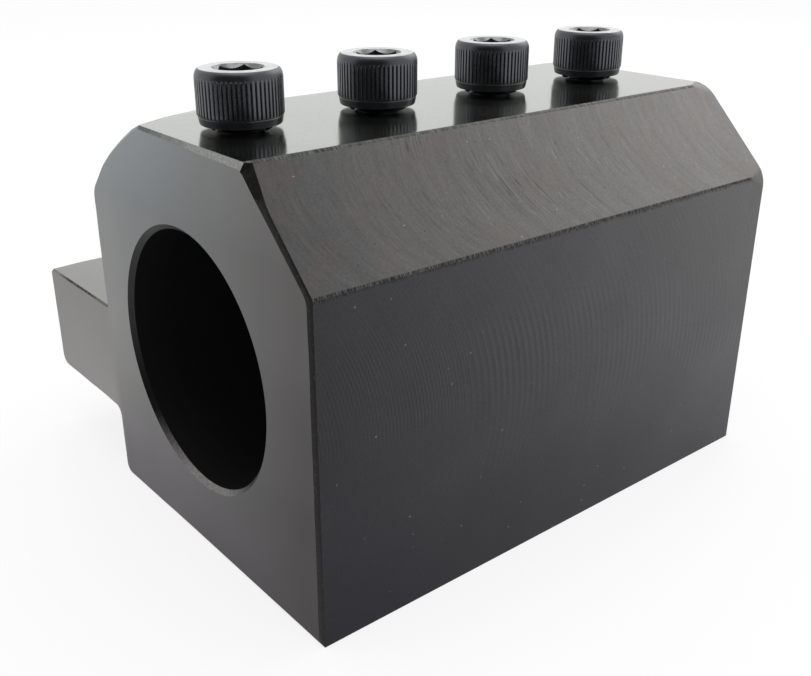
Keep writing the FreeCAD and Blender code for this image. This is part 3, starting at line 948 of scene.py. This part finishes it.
# The step from the collar to the knurl: mm in from the knurl, mm over the collar
COLLAR_STEP = ((0.28, 0.05), (0.05, 0.25), (0.0, 0.5))
# Where the knurl starts over the collar, and the heights over which it deepens and runs out
KNURL_START, KNURL_RISE, KNURL_FALL = 0.04 * MM, 0.2 * MM, 0.6 * MM
# Points this far inside the ridges are left as they are
KNURL_WALL = 0.5 * MM
# How far below the head's top its lead-in and its flat top are looked for
LEAD_HEIGHT, TOP_HEIGHT = 1.2 * MM, 0.3 * MM
WALL_STEPS = 10
RIM_STEPS = 8
THREAD_STEPS = 36
# A thread's outline over one pitch: depth as a share of the pitch, and where along the pitch it turns
THREAD_DEPTH = 0.6134
ROOT_AND_CREST = (0.125, 0.42, 0.56, 0.875)
# How far the thread's crests lie inside its major diameter
CREST_GAP = 0.02 * MM


def head_outline(sizes):
    """Gives the head's outline as (radius, height over its underside), from the underside up."""
    side, foot = sizes.head_diameter / 2, sizes.collar_height
    collar = side - sizes.collar_inset
    top, rim, fall = sizes.head_height, sizes.rim_rounding, sizes.rim_height
    lower = [(0, SEAT_GAP), (collar - 0.52 * MM, SEAT_GAP)]
    lower += [(collar - inset * MM, height * MM) for inset, height in COLLAR_FOOT]
    lower += [(collar, foot - 0.12 * MM), (collar - 0.08 * MM, foot)]
    lower += [(side - inset * MM, foot + height * MM) for inset, height in COLLAR_STEP]
    start = lower[-1][1]
    wall = [(side, start + (top - fall - start) * step / WALL_STEPS) for step in range(1, WALL_STEPS + 1)]
    arc = [
        (side - rim * (1 - math.cos(angle)), top - fall * (1 - math.sin(angle)))
        for angle in (math.pi / 2 * step / RIM_STEPS for step in range(1, RIM_STEPS + 1))]
    return lower + wall + arc + [(0, top)]


def ridge_fade(height, sizes):
    """Gives how deep the knurl is at a height of the head, from 0 to 1."""
    rise = (height - sizes.collar_height - KNURL_START) / KNURL_RISE
    fall = (sizes.head_height - sizes.smooth_band - height) / KNURL_FALL
    return min(1, max(0, rise)) * min(1, max(0, fall))


def screw_head(sizes):
    """Builds the knurled head without its socket."""
    steps = sizes.ridge_count * STEPS_PER_RIDGE
    mesh_data = turned("head", head_outline(sizes), steps)
    wall = sizes.head_diameter / 2 - KNURL_WALL
    for vert in mesh_data.vertices:
        reach = math.hypot(vert.co.x, vert.co.y)
        if reach < wall:
            continue
        turn = math.atan2(vert.co.y, vert.co.x) / (2 * math.pi) * sizes.ridge_count
        step = round(turn * STEPS_PER_RIDGE) % STEPS_PER_RIDGE
        depth = GROOVE_SHAPE[step] * sizes.ridge_depth * ridge_fade(vert.co.z, sizes)
        shrink = (reach - depth) / reach
        vert.co.x *= shrink
        vert.co.y *= shrink
    return mesh_data


def socket_cutter(sizes):
    """Builds what the hexagon socket takes out of the head."""
    bm = bmesh.new()
    corner = sizes.socket_width / math.sqrt(3)
    depth = sizes.socket_depth + SPARE
    bmesh.ops.create_cone(
        bm, cap_ends=True, segments=6, radius1=corner, radius2=corner, depth=depth,
        matrix=Matrix.Translation((0, 0, sizes.head_height - sizes.socket_depth + depth / 2))
        @ Matrix.Rotation(math.radians(30), 4, "Z"))
    return finish_mesh(bm, "socket")


def lead_cutter(sizes):
    """Builds what the lead-in cone takes out of the socket's mouth."""
    mouth = sizes.socket_width / math.sqrt(3) + sizes.socket_lead
    top, depth = sizes.head_height, mouth - LEAD_REACH * sizes.socket_width / 2
    outline = [
        (0, top - depth), (mouth - depth, top - depth), (mouth, top), (mouth, top + SPARE), (0, top + SPARE)]
    return turned("lead", outline, LEAD_STEPS)


def threaded_rod(sizes):
    """Builds the threaded shank: one turn of the thread's outline spun upwards turn on turn, then trimmed."""
    pitch, major = sizes.pitch, sizes.thread_diameter / 2
    minor, crest = major - THREAD_DEPTH * pitch, major - CREST_GAP
    bottom = -sizes.shank_length
    start = bottom - 2 * pitch
    turns = math.ceil((sizes.shank_length + 4 * pitch) / pitch)
    bm = bmesh.new()
    outline = zip((minor, minor, crest, crest, minor, minor), (0, *ROOT_AND_CREST, 1))
    points = [bm.verts.new((reach, 0, start + share * pitch)) for reach, share in outline]
    edges = [bm.edges.new(pair) for pair in zip(points, points[1:])]
    bmesh.ops.spin(
        bm, geom=points + edges, cent=(0, 0, 0), axis=AXIS_Z, angle=2 * math.pi * turns,
        steps=THREAD_STEPS * turns, dvec=(0, 0, pitch / THREAD_STEPS), use_merge=False, use_duplicate=False)
    bmesh.ops.remove_doubles(bm, verts=bm.verts, dist=MERGE_DISTANCE)
    for level, normal in ((bottom - 0.5 * pitch, (0, 0, -1)), (0.5 * pitch, AXIS_Z)):
        trimmed = bmesh.ops.bisect_plane(
            bm, geom=bm.verts[:] + bm.edges[:] + bm.faces[:], plane_co=(0, 0, level), plane_no=normal,
            clear_outer=True)
        rim = [item for item in trimmed["geom_cut"] if isinstance(item, bmesh.types.BMEdge)]
        bmesh.ops.contextual_create(bm, geom=rim)
    return finish_mesh(bm, "thread")


def rod_envelope(sizes):
    """Builds the plain bar that the thread is cut on, with its chamfered tip."""
    room, into_head = 0.1 * MM, 0.3 * MM
    radius, tip = sizes.thread_diameter / 2 + room, sizes.tip_chamfer + room
    bottom = -sizes.shank_length
    outline = [
        (0, bottom), (radius - tip, bottom), (radius, bottom + tip), (radius, into_head), (0, into_head)]
    return turned("envelope", outline, ROD_STEPS)


def finish_of_screw_face(centre, normal, sizes):
    """Names the finish of a face of a screw by where it lies."""
    reach = math.hypot(centre.x, centre.y)
    top, foot = sizes.head_height, sizes.collar_height
    in_mouth = reach < sizes.socket_width / math.sqrt(3) + sizes.socket_lead
    if in_mouth and centre.z > top - LEAD_HEIGHT and 0.3 < normal.z < 0.95:
        return "socket_lead"
    if centre.z > top - TOP_HEIGHT and normal.z > 0.97:
        return "head_top"
    if 0 < centre.z < foot - 0.1 * MM:
        return "collar"
    knurled = foot + 0.3 * MM < centre.z < top - sizes.smooth_band
    if knurled and reach > sizes.head_diameter / 2 - 0.03 * MM:
        return "crest"
    return "oxide"


class TOOLHOLDER_OT_screws(bpy.types.Operator):
    """Builds the four knurled cap screws in their clamp holes"""

    bl_idname = "tool_holder.screws"
    bl_label = "Build Screws"

    def execute(self, context):
        sizes, colors = context.scene.screw_sizes, context.scene.finishes
        shank = cut(threaded_rod(sizes), rod_envelope(sizes), "INTERSECT")
        head = cut(cut(screw_head(sizes), socket_cutter(sizes)), lead_cutter(sizes))
        master = cut(head, shank, "UNION")
        materials = {
            "oxide": black_oxide("black_oxide", colors.screw, 0.34, 0.04),
            "crest": black_oxide("oxide_crest", colors.screw_crest, 0.28, 0.08, 2.05),
            "collar": black_oxide("oxide_collar", colors.screw, 0.30, 0.02, 1.4),
            "socket_lead": bright_metal("painted_reflection_lead", colors.screw_lead, 0.25),
            "head_top": bright_metal("painted_reflection_top", colors.screw_top, 0.12),
        }
        dress(master, materials, lambda centre, normal: finish_of_screw_face(centre, normal, sizes))
        seat = HEAD_TOP - sizes.head_height
        for index, (node, level) in enumerate(zip(SCREW_NODES, screw_levels())):
            mesh_data = master.copy()
            mesh_data.transform(
                Matrix.Translation((0, level, seat)) @ Matrix.Rotation(sizes.turns[index], 4, "Z"))
            mesh_data = soften(mesh_data, SCREW_EDGE_ANGLE)
            number = index + 1
            new_piece(f"cap_screw_{number}", mesh_data, f"screw_{number}", [node])
        return {"FINISHED"}


# Studio

FLOOR_SIZE = 8.0
# In millimetres, as the lens is
SENSOR_WIDTH = 36
# Name, place, width and height of each soft box, in metres
LAMPS = (("overhead", (0, 0, 1.2), 0.9, 0.9), ("back_panel", (-0.08, 0.74, 0.52), 0.8, 0.5))


def add_sheet(name, width, height, matrix, material):
    """Puts a flat sheet in the scene."""
    bm = bmesh.new()
    bmesh.ops.create_grid(
        bm, x_segments=1, y_segments=1, size=0.5, matrix=matrix @ Matrix.Diagonal((width, height, 1, 1)))
    mesh_data = bpy.data.meshes.new(name)
    bm.to_mesh(mesh_data)
    bm.free()
    mesh_data.materials.append(material)
    return put(name, mesh_data)


class TOOLHOLDER_OT_studio(bpy.types.Operator):
    """Sets up the floor, the soft light and the camera"""

    bl_idname = "tool_holder.studio"
    bl_label = "Build Studio"

    def execute(self, context):
        settings, colors = context.scene.studio, context.scene.finishes
        self.build_floor(settings, colors)
        self.hang_flag(settings)
        self.light_world(context, settings)
        for name, place, width, height in LAMPS:
            self.add_lamp(name, place, width, height, settings.lamp_light)
        self.place_camera(context, settings)
        context.scene.view_settings.view_transform = "Standard"
        return {"FINISHED"}

    def build_floor(self, settings, colors):
        finish = Finish("pale_floor", colors.floor, 0.9, metallic=0.0)
        finish.surface.inputs["Specular IOR Level"].default_value = 0.1
        finish.mottle((finish.noise(0.02, 2.0), 0.995, 1.005))
        level = Matrix.Translation((0, 0, BLOCK_LOW.z))
        floor = add_sheet("floor", FLOOR_SIZE, FLOOR_SIZE, level, finish.whitened(settings.floor_white))

    def hang_flag(self, settings):
        """Hangs a black flag behind the camera, which only mirrors see: it darkens what faces the camera."""
        turn = settings.azimuth - settings.flag_turn
        back = Vector((math.sin(turn), -math.cos(turn), 0))
        place = back * settings.flag_distance + Vector((0, 0, BLOCK_LOW.z + settings.flag_height / 2))
        finish = Finish("black_cloth", (0.01, 0.01, 0.01), 1.0, metallic=0.0)
        finish.surface.inputs["Specular IOR Level"].default_value = 0.0
        upright = Matrix.Rotation(turn, 4, "Z") @ Matrix.Rotation(math.pi / 2, 4, "X")
        upright = Matrix.Translation(place) @ upright
        flag = add_sheet("flag", settings.flag_width, settings.flag_height, upright, finish.done())
        flag.visible_camera = flag.visible_diffuse = flag.visible_shadow = False

    def light_world(self, context, settings):
        """Lights evenly from all sides, and shows the camera and mirrors a plain white."""
        world = bpy.data.worlds.new("studio")
        context.scene.world = world
        world.use_nodes = True
        tree = world.node_tree
        even, seen = tree.nodes["Background"], tree.nodes.new("ShaderNodeBackground")
        for background, strength in ((even, settings.world_light), (seen, 1.0)):
            background.inputs["Color"].default_value = WHITE
            background.inputs["Strength"].default_value = strength
        rays = tree.nodes.new("ShaderNodeLightPath")
        glossy, direct = tree.nodes.new("ShaderNodeMath"), tree.nodes.new("ShaderNodeMath")
        glossy.operation = direct.operation = "MAXIMUM"
        blend = tree.nodes.new("ShaderNodeMixShader")
        for source, target in (
                (rays.outputs["Is Glossy Ray"], glossy.inputs[0]),
                (rays.outputs["Is Transmission Ray"], glossy.inputs[1]),
                (rays.outputs["Is Camera Ray"], direct.inputs[0]), (glossy.outputs[0], direct.inputs[1]),
                (direct.outputs[0], blend.inputs[0]), (even.outputs[0], blend.inputs[1]),
                (seen.outputs[0], blend.inputs[2]),
                (blend.outputs[0], tree.nodes["World Output"].inputs["Surface"])):
            tree.links.new(source, target)

    def add_lamp(self, name, place, width, height, radiance):
        """Hangs a rectangular soft box that looks at the block and whose face has the given brightness."""
        lamp = bpy.data.lights.new(name, "AREA")
        lamp.shape = "RECTANGLE"
        lamp.size, lamp.size_y = width, height
        lamp.energy = radiance * math.pi * width * height
        turn = Vector(place).to_track_quat("Z", "Y").to_matrix().to_4x4()
        put(name, lamp).matrix_world = Matrix.Translation(place) @ turn

    def place_camera(self, context, settings):
        camera = bpy.data.cameras.new("camera")
        camera.sensor_width = SENSOR_WIDTH
        camera.lens = settings.focal_length
        camera.clip_start = 0.01
        camera.clip_end = 50
        item = put("camera", camera)
        item.matrix_world = (
            Matrix.Translation(settings.eye)
            @ Matrix.Rotation(settings.azimuth, 4, "Z")
            @ Matrix.Rotation(math.pi / 2 - settings.elevation, 4, "X")
            @ Matrix.Rotation(settings.roll, 4, "Z"))
        context.scene.camera = item


class TOOLHOLDER_PT_panel(bpy.types.Panel):
    """Lists the builders of the tool holder"""

    bl_idname = "TOOLHOLDER_PT_panel"
    bl_label = "Tool Holder"
    bl_space_type = "VIEW_3D"
    bl_region_type = "UI"
    bl_category = "Tool Holder"

    def draw(self, context):
        for operator in BUILDERS:
            self.layout.operator(operator.bl_idname)


BUILDERS = (TOOLHOLDER_OT_block, TOOLHOLDER_OT_screws, TOOLHOLDER_OT_studio)
PROPERTY_GROUPS = {
    "block_sizes": BlockSizes, "screw_sizes": ScrewSizes, "finishes": Finishes, "studio": StudioSettings}
CLASSES = (*PROPERTY_GROUPS.values(), *BUILDERS, TOOLHOLDER_PT_panel)


def register():
    for item in CLASSES:
        bpy.utils.register_class(item)
    for name, group in PROPERTY_GROUPS.items():
        setattr(bpy.types.Scene, name, PointerProperty(type=group))


def unregister():
    for name in PROPERTY_GROUPS:
        delattr(bpy.types.Scene, name)
    for item in reversed(CLASSES):
        bpy.utils.unregister_class(item)


def main():
    register()
    bpy.ops.tool_holder.block()
    bpy.ops.tool_holder.screws()
    bpy.ops.tool_holder.studio()
    bpy.context.view_layer.update()


if __name__ == "__main__":
    main()
